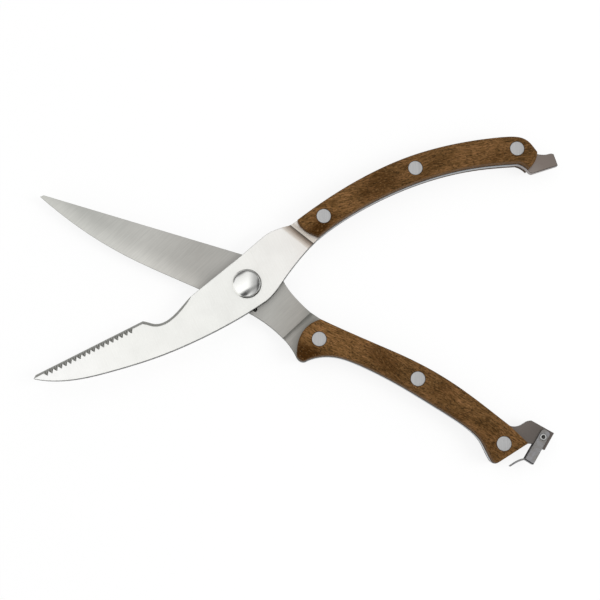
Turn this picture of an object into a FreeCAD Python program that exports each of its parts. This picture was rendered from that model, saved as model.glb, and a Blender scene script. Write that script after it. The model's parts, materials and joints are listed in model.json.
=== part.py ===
import FreeCAD, Part
import math
import os
import Sketcher
from FreeCAD import Placement, Rotation, Vector

# Poultry shears: two sheet-steel halves with wooden scales, a sprung pivot and a strip latch.
# Both halves are drawn closed, with the pivot at the origin, the blades towards -X, the handles
# towards +X and the shearing plane at z = 0. Their Placements then turn them to the open rest
# position and set the origin at the bottom centre of the whole object.

doc = FreeCAD.newDocument("PoultryShears")

# ---------------------------------------------------------------- driving dimensions (mm, degrees)

DIMENSIONS = [
    ("plate", 3.0, "thickness of the blades and tangs"),
    ("blade_gap", 0.1, "play between the two blades"),
    ("scale_thick", 4.7, "thickness of a wooden scale"),
    ("scale_round", 1.3, "rounding of a scale's outer edges"),
    ("scale_inset", 0.35, "ledge of the tang left bare round a scale"),
    ("step_run", 3.2, "length of the ramp from blade to tang"),
    ("step_lag", 2.0, "ramp of the hidden side, behind the visible one"),
    ("serrated_step", 32.35, "pivot to the foot of the serrated half's ramp"),
    ("serrated_step_turn", 22.4, "direction of that distance"),
    ("plain_step", 28.36, "pivot to the foot of the plain half's ramp"),
    ("plain_step_turn", -30.2, "direction of that distance"),
    ("serrated_open", 30.0, "turn of the serrated half from closed to open"),
    ("plain_open", -17.0, "turn of the plain half from closed to open"),
    ("screw_head_dia", 13.0, "pivot screw head"),
    ("screw_head_high", 3.0, "height of that head over the blade"),
    ("screw_dome", 13.0, "radius of its domed top"),
    ("screw_roll", 1.6, "radius of its rolled rim"),
    ("screw_dia", 7.0, "pivot screw shank"),
    ("thread_dia", 6.0, "pivot screw thread"),
    ("running_play", 0.05, "radial play of every running fit"),
    ("washer_dia", 11.6, "pivot washer"),
    ("washer_thick", 0.5, "pivot washer"),
    ("nut_dia", 11.0, "pivot nut"),
    ("nut_slot", 1.6, "width of the spanner slot in the nut"),
    ("nut_slot_deep", 0.8, "depth of that slot"),
    ("pocket_dia", 15.2, "spring pocket in each blade"),
    ("pocket_deep", 1.45, "depth of the pocket, the leg channels and the stop groove"),
    ("coil_dia", 12.6, "mean diameter of the opening spring"),
    ("wire_dia", 1.2, "wire of the opening spring"),
    ("coil_rise", 1.6, "height of the coil's centre line"),
    ("anchor_radius", 11.7, "pivot to each anchored leg end"),
    ("anchor_dia", 1.9, "anchor holes of the spring's legs"),
    ("plain_anchor_turn", -55.0, "direction of the anchor hole in the plain blade"),
    ("serrated_anchor_turn", 43.2, "direction of the anchor in the serrated blade"),
    ("channel", 1.6, "width of the leg channels"),
    ("stop_radius", 10.0, "pivot to the stop pin"),
    ("stop_dia", 2.4, "stop pin"),
    ("stop_groove", 2.7, "width of the stop groove"),
    ("stop_turn", 180.0, "direction of the stop pin"),
    ("bevel_run", 1.4, "width of the cutting bevel in plan"),
    ("bevel_edge", 0.35, "flat left under the cutting bevel"),
    ("plain_bevel_run", 2.4, "width of the plain blade's bevel"),
    ("tooth_pitch", 2.27, "pitch of the serration"),
    ("tooth_count", 19, "grooves in the serration"),
    ("tooth_reach", 2.95, "edge to the inner end of a groove"),
    ("tooth_included", 86.0, "included angle of a groove"),
    ("tooth_floor", 0.3, "flat bottom of a groove"),
    ("rivet_head", 6.35, "cutlery rivet heads"),
    ("rivet_head_thick", 1.6, "cutlery rivet heads"),
    ("rivet_barrel", 4.0, "female rivet barrel"),
    ("rivet_shank", 3.0, "male rivet shank"),
    ("latch_sheet", 0.7, "latch strip thickness"),
    ("latch_wide", 4.2, "latch strip width"),
    ("latch_play", 0.15, "play between each ear and the tab"),
    ("latch_reach", 12.05, "latch pin to the inside of the bridge"),
    ("latch_tail", 3.3, "latch pin to the rounded ends of the ears"),
    ("thumb_length", 7.5, "thumb tab of the latch"),
    ("thumb_turn", 54.7, "rise of the thumb tab from the bridge"),
    ("latch_pin_x", 144.1, "latch pin, from the pivot, closed"),
    ("latch_pin_y", -26.6, "latch pin, from the pivot, closed"),
    ("latch_hang", -194.0, "hanging latch, turned from upright on the closed plain half"),
    ("latch_pin_dia", 2.0, "latch rivet"),
    ("latch_pin_head", 2.8, "head of the latch rivet"),
    ("latch_head_thick", 0.4, "head of the latch rivet"),
    ("latch_bend", 0.6, "outside radius of the bends between bridge and ears"),
]

sheet = doc.addObject("Spreadsheet::Sheet", "Dims")
for row, (alias, value, note) in enumerate(DIMENSIONS, start=1):
    sheet.set(f"A{row}", alias)
    sheet.set(f"B{row}", str(value))
    sheet.set(f"C{row}", note)
    sheet.setAlias(f"B{row}", alias)
doc.recompute()


def dim(alias):
    return float(sheet.get(alias))


def cell(alias):
    return "Dims." + alias


half_gap = dim("blade_gap") / 2
half_tang = dim("plate") / 2
blade_face = half_gap + dim("plate")            # outer face of a blade, from the shearing plane
scale_face = half_tang + dim("scale_thick")     # outer face of a scale
HALF_GAP = "Dims.blade_gap / 2"
HALF_TANG = "Dims.plate / 2"
BLADE_FACE = "(Dims.blade_gap / 2 + Dims.plate)"

# ---------------------------------------------------------------- outlines of the closed shears

# Serrated half, from the tip along its edge to the pivot and round the handle.
EDGE_TIP = (-100.4, 11.4)
SPINE_TIP = (-101.6, 9.8)
NOTCH_START = (-48.2, 8.8)
NOTCH = [NOTCH_START, (-46.6, 7.4), (-44.2, 5.1), (-41.2, 3.85), (-38.0, 3.75), (-33.5, 4.7), (-24.7, 7.4)]
NOTCH_END = NOTCH[-1]
HEEL_END = (0.5, 11.6)
NOTCH_GRIND = NOTCH[:-1] + [(-29.5, 6.2), (-26.5, 7.65), (-23.4, 9.8)]
SHOULDER = [HEEL_END, (8.0, 13.05), (15.0, 14.45), (20.0, 15.05), (25.0, 14.5), (29.2, 13.75), (33.4, 13.85)]
SERRATED_BACK = [(33.4, 13.85), (48, 15.4), (62, 16.1), (75, 15.85), (90, 14.3), (105, 11.05), (120, 6.2),
                 (133, 0.8)]
SERRATED_END = [(133, 0.8), (138.0, -1.85), (141.0, -4.4), (142.6, -7.3), (143.2, -10.5), (143.5, -13.5)]
NUB_TOP = [(143.5, -13.5), (145.8, -15.3), (147.8, -16.2), (149.2, -16.6), (150.2, -17.6)]
NUB_CORNER = (149.1, -22.9)
NUB_HEEL = (137.3, -20.4)
HOOK = [NUB_HEEL, (136.5, -19.7), (136.1, -18.3)]
HOOK_INSIDE = [(136.1, -18.3), (135.3, -15.9), (133.5, -13.4)]
SERRATED_GRIP = [(133.5, -13.4), (126, -9.75), (115, -5.1), (98, -0.05), (80, 2.95), (64, 3.95), (48, 3.4),
                 (38, 2.0)]
BELLY = [(38, 2.0), (33, 0.5), (25, -2.35), (15, -6.7), (8, -9.85), (3.5, -11.0)]
SERRATED_SPINE = [(3.5, -11.0), (-14, -11.7), (-30, -11.05), (-50, -8.7), (-70, -4.3), (-85, 0.2), (-95, 5.0),
                  SPINE_TIP]
SERRATED_FRONT = [(33.4, 13.85), (33.15, 11.5), (34.4, 7.2), (38, 2.0)]
SERRATED_TAIL = [(136.1, -18.3), (140.2, -16.8), (143.5, -13.5)]

# Plain half, from the tip along its spine and round the handle to its edge.
PLAIN_SPINE_TIP = (-99.6, 12.05)
PLAIN_EDGE_TIP = (-100.9, 10.9)
PLAIN_SPINE_END = (7.0, 12.5)
NECK = [PLAIN_SPINE_END, (11, 10.6), (15.5, 5.9), (20, 2.2), (25, -0.8), (30, -3.3), (36, -5.4)]
PLAIN_GRIP = [(36, -5.4), (48, -7.05), (62, -8.7), (78, -10.65), (90, -12.9), (104, -16.85), (117, -21.6),
              (128.5, -26.1)]
TAB_RISE = [(128.5, -26.1), (131.5, -25.6), (134.0, -23.9), (135.7, -22.0), (137.4, -21.15)]
TAB_TOP = (148.3, -23.55)
TAB_BOTTOM = (146.3, -31.8)
TAB_UNDER = (140.6, -30.75)
PLAIN_CORNER = (138.5, -31.3)
PLAIN_BUTT = [(128.6, -42.7), (126.6, -43.9), (124.6, -43.0)]
PLAIN_BACK = [(124.6, -43.0), (121.4, -39.6), (118, -36.2), (113, -33.4), (104, -30.35), (92, -27.1),
              (78, -23.55), (65, -21.0), (54, -19.65), (46.5, -19.85), (40.5, -21.7), (35.5, -24.9)]
PLAIN_LOBE = [(35.5, -24.9), (33.2, -26.05), (31.4, -25.5), (30.2, -24.4)]
PLAIN_HEEL = [(30.2, -24.4), (25, -19.9), (20, -17.0), (12.5, -13.9), (5.6, -12.0), (0, -11.0)]
PLAIN_EDGE = [(0, -11.0), (-8, -9.9), (-20, -8.15), (-40, -5.8), (-60, -2.6), (-75, 1.2), (-88, 5.6),
              PLAIN_EDGE_TIP]
PLAIN_FRONT = [(30.2, -24.4), (29.3, -21.0), (29.0, -17.0), (29.9, -12.4), (32.4, -8.3), (36, -5.4)]

SERRATED_RIVETS = [(44.6, 9.0), (91.3, 7.5), (135.7, -7.6)]
PLAIN_RIVETS = [(37.8, -14.5), (84.1, -18.6), (127.7, -34.7)]

serrated_blade_outline = [
    [EDGE_TIP, NOTCH_START], NOTCH, [NOTCH_END, HEEL_END], SHOULDER, SERRATED_BACK, SERRATED_END,
    NUB_TOP, [NUB_TOP[-1], NUB_CORNER], [NUB_CORNER, NUB_HEEL], HOOK, HOOK_INSIDE, SERRATED_GRIP, BELLY,
    SERRATED_SPINE, [SPINE_TIP, EDGE_TIP],
]
serrated_scale_outline = [
    SERRATED_BACK, SERRATED_END, SERRATED_TAIL[::-1], HOOK_INSIDE, SERRATED_GRIP, SERRATED_FRONT[::-1],
]
plain_blade_outline = [
    [PLAIN_SPINE_TIP, PLAIN_SPINE_END], NECK, PLAIN_GRIP, TAB_RISE, [TAB_RISE[-1], TAB_TOP],
    [TAB_TOP, TAB_BOTTOM], [TAB_BOTTOM, TAB_UNDER], [TAB_UNDER, PLAIN_CORNER],
    [PLAIN_CORNER, PLAIN_BUTT[0]], PLAIN_BUTT, PLAIN_BACK, PLAIN_LOBE, PLAIN_HEEL, PLAIN_EDGE,
    [PLAIN_EDGE_TIP, PLAIN_SPINE_TIP],
]
plain_scale_outline = [
    PLAIN_GRIP, [PLAIN_GRIP[-1], PLAIN_CORNER], [PLAIN_CORNER, PLAIN_BUTT[0]], PLAIN_BUTT, PLAIN_BACK,
    PLAIN_LOBE, PLAIN_FRONT,
]

# ---------------------------------------------------------------- building helpers

subparts = []


def polar(radius, turn):
    return Vector(radius * math.cos(math.radians(turn)), radius * math.sin(math.radians(turn)), 0)


def new_body(label):
    body = doc.addObject("PartDesign::Body", label)
    body.Label = label
    subparts.append(body)
    return body


def new_sketch(body, role, label, height=None):
    """A sketch on one of the body's own planes, raised along its normal by an expression."""
    sketch = body.newObject("Sketcher::SketchObject", label)
    plane = [feature for feature in body.Origin.OriginFeatures if feature.Role == role][0]
    sketch.AttachmentSupport = [(plane, "")]
    sketch.MapMode = "FlatFace"
    if height:
        sketch.setExpression("AttachmentOffset.Base.z", height)
    return sketch


def stand_across(sketch, point, turn):
    """Stand an XZ sketch upright at a point, with its x direction turned to the given direction."""
    offset = Vector(point[0], 0, -point[1])
    sketch.AttachmentOffset = Placement(offset, Rotation(Vector(0, 1, 0), turn))


def draw(sketch, stretches):
    """Closed outline: a stretch of two points is a line, a longer one a smooth curve through them."""
    for stretch in stretches:
        points = [Vector(x, y, 0) for x, y in stretch]
        if len(points) == 2:
            sketch.addGeometry(Part.LineSegment(points[0], points[1]), False)
        else:
            curve = Part.BSplineCurve()
            curve.interpolate(points)
            sketch.addGeometry(curve, False)


def straight(corners):
    """The stretches of a closed outline with straight sides."""
    return [[corners[i - 1], corners[i]] for i in range(len(corners))]


def draw_polygon(sketch, corners):
    draw(sketch, straight(corners))


def draw_circle(sketch, centre, diameter):
    """A circle whose diameter follows an expression."""
    x, y = centre
    index = sketch.addGeometry(Part.Circle(Vector(x, y, 0), Vector(0, 0, 1), 1.0), False)
    sketch.addConstraint(Sketcher.Constraint("Diameter", index, 2.0))
    sketch.setExpression(f"Constraints[{sketch.ConstraintCount - 1}]", diameter)


def draw_slot(sketch, start, end, width):
    """A straight slot with round ends, as one closed outline."""
    along = (end - start).normalize()
    side = Vector(-along.y, along.x, 0) * (width / 2)
    back = along * (width / 2)
    sketch.addGeometry(Part.LineSegment(start + side, end + side), False)
    sketch.addGeometry(Part.Arc(end + side, end + back, end - side), False)
    sketch.addGeometry(Part.LineSegment(end - side, start - side), False)
    sketch.addGeometry(Part.Arc(start - side, start - back, start + side), False)


def draw_arc_slot(sketch, radius, width, start_turn, end_turn):
    """A slot bent round the pivot, with round ends centred on the two directions."""
    middle = (start_turn + end_turn) / 2
    inner = radius - width / 2
    outer = radius + width / 2
    cap = math.degrees(width / 2 / radius)
    corners = [polar(outer, start_turn), polar(outer, end_turn), polar(inner, end_turn),
               polar(inner, start_turn)]
    middles = [polar(outer, middle), polar(radius, end_turn + cap), polar(inner, middle),
               polar(radius, start_turn - cap)]
    for i, through in enumerate(middles):
        sketch.addGeometry(Part.Arc(corners[i], through, corners[(i + 1) % 4]), False)


def pad(body, sketch, length, upwards=True):
    feature = body.newObject("PartDesign::Pad", sketch.Label + "_pad")
    feature.Profile = sketch
    feature.setExpression("Length", length)
    feature.Reversed = not upwards
    doc.recompute()
    return feature


def cut(body, feature_type, label, settings):
    """Add a feature that takes material away, and make sure that it does."""
    before = body.Shape.Volume
    feature = body.newObject(feature_type, label)
    for name, value in settings.items():
        setattr(feature, name, value)
    doc.recompute()
    if not body.Shape.Volume < before - 1e-4:
        raise RuntimeError(label + " cuts nothing")
    return feature


def pocket_through(body, sketch):
    return cut(body, "PartDesign::Pocket", sketch.Label + "_cut",
               {"Profile": sketch, "Type": "ThroughAll", "SideType": "Symmetric"})


def pocket(body, sketch, depth, upwards):
    """A blind pocket from the sketch's plane, upwards or downwards by an expression."""
    before = body.Shape.Volume
    feature = body.newObject("PartDesign::Pocket", sketch.Label + "_cut")
    feature.Profile = sketch
    feature.setExpression("Length", depth)
    feature.Reversed = upwards
    doc.recompute()
    if not body.Shape.Volume < before - 1e-4:
        raise RuntimeError(sketch.Label + " cuts nothing")
    return feature


def revolve(body, profile):
    """A turned piece about the body's Z axis, from an outline of (radius, height) corners."""
    sketch = new_sketch(body, "XZ_Plane", body.Label + "_profile")
    draw(sketch, profile)
    feature = body.newObject("PartDesign::Revolution", body.Label + "_turned")
    feature.Profile = sketch
    feature.ReferenceAxis = (sketch, ["V_Axis"])
    feature.Angle = 360
    doc.recompute()
    return feature


# ---------------------------------------------------------------- steel halves


def ramp_curve(start, high, low, towards):
    """Ramp of a joggle: level at its high start, steepest at its crisp low foot."""
    run = dim("step_run")
    drop = abs(high - low)
    radius = (run * run + drop * drop) / (2 * drop)
    sign = 1 if high > low else -1
    points = []
    for share in (0, 0.25, 0.5, 0.75, 1):
        along = run * share
        fall = radius - math.sqrt(radius * radius - along * along)
        points.append((start + towards * along, high - sign * fall))
    return points


def steel_plate(label, outline, side, step, turn):
    """A blade and its tang cut from one sheet. side is +1 where the blade stands above the shearing
    plane and -1 where it lies below it; the tang is centred on that plane."""
    body = new_body(label)
    sketch = new_sketch(body, "XY_Plane", label + "_outline", f"{-side} * {HALF_TANG}")
    draw(sketch, outline)
    pad(body, sketch, f"{HALF_TANG} + {BLADE_FACE}", upwards=side > 0)

    far = 220
    over = side * 8
    outer = side * blade_face
    inner = side * half_gap
    tang_outer = side * half_tang
    ramp_start = -dim("step_run")
    outer_foot = ramp_curve(ramp_start, outer, tang_outer, 1)
    inner_end = dim("step_run") - dim("step_lag")
    inner_foot = ramp_curve(inner_end, -tang_outer, inner, -1)
    joggle = new_sketch(body, "XZ_Plane", label + "_joggle")
    foot = polar(dim(step), dim(turn))
    if side < 0:
        foot = polar(dim(step) + dim("step_lag"), dim(turn))
    stand_across(joggle, (foot.x, foot.y), dim(turn))
    draw(joggle, [
        outer_foot, [outer_foot[-1], (far, tang_outer)], [(far, tang_outer), (far, over)],
        [(far, over), (ramp_start, over)], [(ramp_start, over), outer_foot[0]],
        inner_foot, [inner_foot[-1], (-far, inner)], [(-far, inner), (-far, -over)],
        [(-far, -over), (inner_end, -over)], [(inner_end, -over), inner_foot[0]],
    ])
    pocket_through(body, joggle)

    hole = new_sketch(body, "XY_Plane", label + "_pivot_hole")
    play = "" if side > 0 else " + 2 * Dims.running_play"
    draw_circle(hole, (0, 0), cell("screw_dia") + play)
    pocket_through(body, hole)

    well = new_sketch(body, "XY_Plane", label + "_spring_pocket", f"{side} * {HALF_GAP}")
    draw_circle(well, (0, 0), cell("pocket_dia"))
    pocket(body, well, cell("pocket_deep"), upwards=side > 0)
    return body


def grind_bevel(body, label, path, run, depth, side):
    """Grind a bevel along a path of points with the blade on its right. side is +1 for the upper
    face and -1 for the lower one; run is the bevel's width in plan."""
    (x0, y0), (x1, y1) = path[0], path[1]
    heading = math.degrees(math.atan2(y1 - y0, x1 - x0))
    spine = new_sketch(body, "XY_Plane", label + "_path")
    draw(spine, [path])
    profile = new_sketch(body, "XZ_Plane", label + "_profile")
    stand_across(profile, path[0], heading - 90)
    outside = 0.6
    spare = 0.4
    rise = depth / run
    low = side * (blade_face - depth - outside * rise)
    high = side * (blade_face + spare * rise)
    draw_polygon(profile, [(-outside, low), (run + spare, high), (-outside, high)])
    doc.recompute()
    cut(body, "PartDesign::SubtractivePipe", label, {"Profile": profile, "Spine": spine, "Mode": "Binormal",
                                                     "Binormal": Vector(0, 0, 1)})


def inset(stretches, amount):
    """The same closed outline with every point moved inwards."""
    loop = [Vector(x, y, 0) for stretch in stretches for x, y in stretch[:-1]]
    area = sum(loop[i - 1].x * loop[i].y - loop[i].x * loop[i - 1].y for i in range(len(loop)))
    inward = 1 if area > 0 else -1
    moved = []
    for i, here in enumerate(loop):
        before = (here - loop[i - 1]).normalize()
        after = (loop[(i + 1) % len(loop)] - here).normalize()
        side = Vector(-before.y - after.y, before.x + after.x, 0).normalize() * inward
        stretch_out = side.dot(Vector(-before.y, before.x, 0)) * inward
        spot = here + side * (amount / stretch_out)
        moved.append((spot.x, spot.y))
    moved.append(moved[0])
    result = []
    start = 0
    for stretch in stretches:
        end = start + len(stretch) - 1
        result.append(moved[start:end + 1])
        start = end
    return result


def beyond(start, end, length):
    """The point a length past end, on the line from start."""
    along = Vector(end[0] - start[0], end[1] - start[1], 0).normalize()
    return (end[0] + along.x * length, end[1] + along.y * length)


def channel_for_leg(body, label, side, anchor_turn, sense):
    """Channel in a blade's inner face for a straight spring leg, from the coil to its anchor."""
    coil_radius = dim("coil_dia") / 2
    swing = math.degrees(math.acos(coil_radius / dim("anchor_radius")))
    sketch = new_sketch(body, "XY_Plane", label, f"{side} * {HALF_GAP}")
    start = polar(coil_radius, anchor_turn - sense * swing)
    draw_slot(sketch, start, polar(dim("anchor_radius"), anchor_turn), dim("channel"))
    pocket(body, sketch, cell("pocket_deep"), upwards=side > 0)


def make_serrated_blade():
    body = steel_plate("serrated_blade", serrated_blade_outline, 1, "serrated_step", "serrated_step_turn")
    channel_for_leg(body, "serrated_leg_channel", 1, dim("serrated_anchor_turn"), -1)
    seat = new_sketch(body, "XY_Plane", "stop_pin_hole", HALF_GAP)
    pin = polar(dim("stop_radius"), dim("stop_turn"))
    draw_circle(seat, (pin.x, pin.y), cell("stop_dia"))
    pocket(body, seat, cell("pocket_deep"), upwards=True)

    edge_depth = dim("plate") - dim("bevel_edge")
    edge_path = [beyond(NOTCH_START, EDGE_TIP, 3), beyond(EDGE_TIP, NOTCH_START, 1.5)]
    grind_bevel(body, "edge_bevel", edge_path, dim("bevel_run"), edge_depth, 1)
    # At the notch's heel the grinding swings out of the blade, so that the bevel runs out in a thin point.
    notch_path = [beyond(NOTCH[1], NOTCH[0], 0.9)] + NOTCH_GRIND
    grind_bevel(body, "notch_bevel", notch_path, dim("bevel_run"), edge_depth, 1)

    # Serration: V grooves that rise from the edge to the outer face, in a row along the edge.
    # Each is cut along its bottom line, square to the edge.
    edge = Vector(NOTCH_START[0] - EDGE_TIP[0], NOTCH_START[1] - EDGE_TIP[1], 0).normalize()
    first = Vector(EDGE_TIP[0], EDGE_TIP[1], 0) + edge * 4.95
    climb = dim("plate") - dim("bevel_edge") - 0.15
    rise = math.degrees(math.atan2(climb, dim("tooth_reach")))
    edge_turn = math.degrees(math.atan2(edge.y, edge.x))
    groove = new_sketch(body, "XZ_Plane", "tooth_groove")
    across = Rotation(Vector(0, 1, 0), edge_turn)
    start = Vector(first.x, half_gap + dim("bevel_edge") + 0.15, -first.y)
    groove.AttachmentOffset = Placement(start, across.multiply(Rotation(Vector(1, 0, 0), -rise)))
    wall = 4.0
    floor = dim("tooth_floor") / 2
    half_wide = floor + wall * math.tan(math.radians(dim("tooth_included") / 2))
    draw_polygon(groove, [(floor, 0), (half_wide, wall), (-half_wide, wall), (-floor, 0)])
    first_cut = cut(body, "PartDesign::Pocket", "tooth_groove_cut",
                    {"Profile": groove, "Type": "Length", "Length": 14, "SideType": "Symmetric"})
    row = body.newObject("PartDesign::LinearPattern", "serration")
    row.Originals = [first_cut]
    guide = new_sketch(body, "XY_Plane", "serration_line")
    guide.AttachmentOffset = Placement(Vector(0, 0, 0), Rotation(Vector(0, 0, 1), edge_turn))
    row.Direction = (guide, ["H_Axis"])
    row.setExpression("Length", "Dims.tooth_pitch * (Dims.tooth_count - 1)")
    row.setExpression("Occurrences", cell("tooth_count"))
    body.Tip = row
    doc.recompute()
    return body


def make_plain_blade():
    body = steel_plate("plain_blade", plain_blade_outline, -1, "plain_step", "plain_step_turn")
    channel_for_leg(body, "plain_leg_channel", -1, dim("plain_anchor_turn"), 1)
    anchor = new_sketch(body, "XY_Plane", "plain_anchor_hole")
    spot = polar(dim("anchor_radius"), dim("plain_anchor_turn"))
    draw_circle(anchor, (spot.x, spot.y), cell("anchor_dia"))
    pocket_through(body, anchor)

    groove = new_sketch(body, "XY_Plane", "stop_groove", f"-1 * {HALF_GAP}")
    travel = dim("serrated_open") - dim("plain_open")
    spare = math.degrees((dim("stop_groove") - dim("stop_dia")) / 2 / dim("stop_radius"))
    draw_arc_slot(groove, dim("stop_radius"), dim("stop_groove"), dim("stop_turn") - 1.5 * spare,
                  dim("stop_turn") + travel - 0.7 * spare)
    pocket(body, groove, cell("pocket_deep"), upwards=False)

    tab_hole = new_sketch(body, "XY_Plane", "latch_pin_hole")
    draw_circle(tab_hole, (dim("latch_pin_x"), dim("latch_pin_y")), cell("latch_pin_dia"))
    pocket_through(body, tab_hole)

    edge_depth = dim("plate") - dim("bevel_edge")
    grind_bevel(body, "plain_bevel", PLAIN_EDGE, dim("plain_bevel_run"), edge_depth, -1)
    return body


def drill_rivets(body, rivets):
    """Rivet holes through a tang or a scale."""
    holes = new_sketch(body, "XY_Plane", body.Label + "_rivet_holes")
    for spot in rivets:
        draw_circle(holes, spot, cell("rivet_barrel"))
    pocket_through(body, holes)


# ---------------------------------------------------------------- handles and fasteners


def make_scale(label, outline, rivets, side):
    """A wooden scale on the front (side +1) or rear (side -1) of a tang."""
    body = new_body(label)
    sketch = new_sketch(body, "XY_Plane", label + "_outline", f"{side} * {HALF_TANG}")
    draw(sketch, inset(outline, dim("scale_inset")))
    block = pad(body, sketch, cell("scale_thick"), upwards=side > 0)
    heights = [face.CenterOfMass.z * side for face in block.Shape.Faces]
    outer_face = heights.index(max(heights)) + 1
    rounding = body.newObject("PartDesign::Fillet", label + "_rounding")
    rounding.Base = (block, [f"Face{outer_face}"])
    rounding.setExpression("Radius", cell("scale_round"))
    doc.recompute()
    drill_rivets(body, rivets)
    sinks = new_sketch(body, "XY_Plane", label + "_rivet_seats", f"{side} * ({HALF_TANG} + Dims.scale_thick)")
    for spot in rivets:
        draw_circle(sinks, spot, cell("rivet_head"))
    pocket(body, sinks, cell("rivet_head_thick"), upwards=side < 0)
    return body


def make_rivet_sleeve(label):
    """Female cutlery rivet: head in the front scale, barrel down into the rear one."""
    body = new_body(label)
    head = dim("rivet_head") / 2
    barrel = dim("rivet_barrel") / 2
    bore = dim("rivet_shank") / 2
    under_head = scale_face - dim("rivet_head_thick")
    barrel_end = -scale_face + dim("rivet_head_thick") + 0.2
    bore_end = under_head - 0.5
    revolve(body, straight([
        (0, scale_face), (head, scale_face), (head, under_head), (barrel, under_head), (barrel, barrel_end),
        (bore, barrel_end), (bore, bore_end), (0, bore_end),
    ]))
    return body


def make_rivet_pin(label):
    """Male cutlery rivet: head in the rear scale, shank up inside the sleeve."""
    body = new_body(label)
    head = dim("rivet_head") / 2
    shank = dim("rivet_shank") / 2
    over_head = -scale_face + dim("rivet_head_thick")
    shank_end = scale_face - dim("rivet_head_thick") - 1.0
    revolve(body, straight([
        (0, -scale_face), (head, -scale_face), (head, over_head), (shank, over_head), (shank, shank_end),
        (0, shank_end),
    ]))
    return body


def make_pivot_screw():
    body = new_body("pivot_screw")
    head = dim("screw_head_dia") / 2
    top = blade_face + dim("screw_head_high")
    dome_radius = dim("screw_dome")
    roll = dim("screw_roll")
    dome_centre = top - dome_radius
    wall_top = dome_centre + math.sqrt((dome_radius - roll) ** 2 - (head - roll) ** 2)
    meet = math.atan2(wall_top - dome_centre, head - roll)
    dome = []
    rim = []
    for share in (0, 0.25, 0.5, 0.75, 1):
        turn = math.pi / 2 + (meet - math.pi / 2) * share
        dome.append((dome_radius * math.cos(turn), dome_centre + dome_radius * math.sin(turn)))
        turn = meet * (1 - share)
        rim.append((head - roll + roll * math.cos(turn), wall_top + roll * math.sin(turn)))
    shank = dim("screw_dia") / 2
    thread = dim("thread_dia") / 2
    shoulder = -blade_face - dim("running_play")
    end = -scale_face + 0.4
    revolve(body, [
        dome, rim, [(head, wall_top), (head, blade_face)], [(head, blade_face), (shank, blade_face)],
        [(shank, blade_face), (shank, shoulder)], [(shank, shoulder), (thread, shoulder)],
        [(thread, shoulder), (thread, end)], [(thread, end), (0, end)], [(0, end), (0, top)],
    ])
    return body


def make_pivot_washer():
    body = new_body("pivot_washer")
    upper = -blade_face - dim("running_play")
    lower = upper - dim("washer_thick")
    bore = dim("thread_dia") / 2
    outer = dim("washer_dia") / 2
    revolve(body, straight([(bore, upper), (outer, upper), (outer, lower), (bore, lower)]))
    return body


def make_pivot_nut():
    """Round nut with a spanner slot across its outer face, level with the scales."""
    body = new_body("pivot_nut")
    upper = -blade_face - dim("running_play") - dim("washer_thick")
    lower = -scale_face
    bore = dim("thread_dia") / 2
    outer = dim("nut_dia") / 2
    break_edge = 0.5
    revolve(body, straight([
        (bore, upper), (outer, upper), (outer, lower + break_edge), (outer - break_edge, lower),
        (bore, lower),
    ]))
    slot = new_sketch(body, "XY_Plane", "nut_slot", "-1 * (Dims.plate / 2 + Dims.scale_thick)")
    half_slot = dim("nut_slot") / 2
    draw_polygon(slot, [(outer + 1, half_slot), (-outer - 1, half_slot), (-outer - 1, -half_slot),
                        (outer + 1, -half_slot)])
    pocket(body, slot, cell("nut_slot_deep"), upwards=True)
    return body


def make_stop_pin():
    body = new_body("stop_pin")
    sketch = new_sketch(body, "XY_Plane", "stop_pin_circle", f"{HALF_GAP} + Dims.pocket_deep")
    draw_circle(sketch, (0, 0), cell("stop_dia"))
    pad(body, sketch, "2 * Dims.pocket_deep - 0.1", upwards=False)
    return body


def make_opening_spring():
    """Torsion spring: a coil between two straight legs that leave it along its tangents."""
    coil_radius = dim("coil_dia") / 2
    anchor = dim("anchor_radius")
    half_rise = dim("coil_rise") / 2
    swing = math.degrees(math.acos(coil_radius / anchor))
    open_turn = dim("serrated_open") - dim("plain_open")
    low_anchor = dim("plain_anchor_turn") - open_turn
    low_turn = low_anchor - swing
    high_anchor = dim("serrated_anchor_turn")
    high_turn = high_anchor + swing
    wound = 360 + (low_turn - high_turn) % 360
    low_end = polar(anchor, low_anchor) - Vector(0, 0, half_rise)
    high_end = polar(anchor, high_anchor) + Vector(0, 0, half_rise)
    coil = []
    steps = 24
    for step in range(steps + 1):
        share = step / steps
        coil.append(polar(coil_radius, low_turn - wound * share) + Vector(0, 0, half_rise * (2 * share - 1)))
    low_leg = [low_end + (coil[0] - low_end) * (step / 5) for step in range(5)]
    high_leg = [high_end + (coil[-1] - high_end) * (step / 5) for step in range(5)]
    centre_line = Part.BSplineCurve()
    centre_line.interpolate(low_leg + coil + high_leg[::-1])
    section = Part.Wire(Part.makeCircle(dim("wire_dia") / 2, low_end, coil[0] - low_end))
    spring = doc.addObject("Part::Feature", "opening_spring")
    spring.Label = "opening_spring"
    spring.Shape = Part.Wire([centre_line.toShape()]).makePipeShell([section], True, False)
    subparts.append(spring)
    return spring


def make_latch_pin():
    """Small rivet with a low domed head on each side of the latch's ears."""
    body = new_body("latch_pin")
    shank = dim("latch_pin_dia") / 2
    head = dim("latch_pin_head") / 2
    seat = half_tang + dim("latch_play") + dim("latch_sheet") + dim("running_play")
    top = seat + dim("latch_head_thick")
    shoulder = seat + dim("latch_head_thick") * 0.4
    revolve(body, [
        [(0, top), (head * 0.6, top - 0.08), (head, shoulder)], [(head, shoulder), (head, seat)],
        [(head, seat), (shank, seat)], [(shank, seat), (shank, -seat)], [(shank, -seat), (head, -seat)],
        [(head, -seat), (head, -shoulder)], [(head, -shoulder), (head * 0.6, -top + 0.08), (0, -top)],
        [(0, -top), (0, top)],
    ])
    return body


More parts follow.
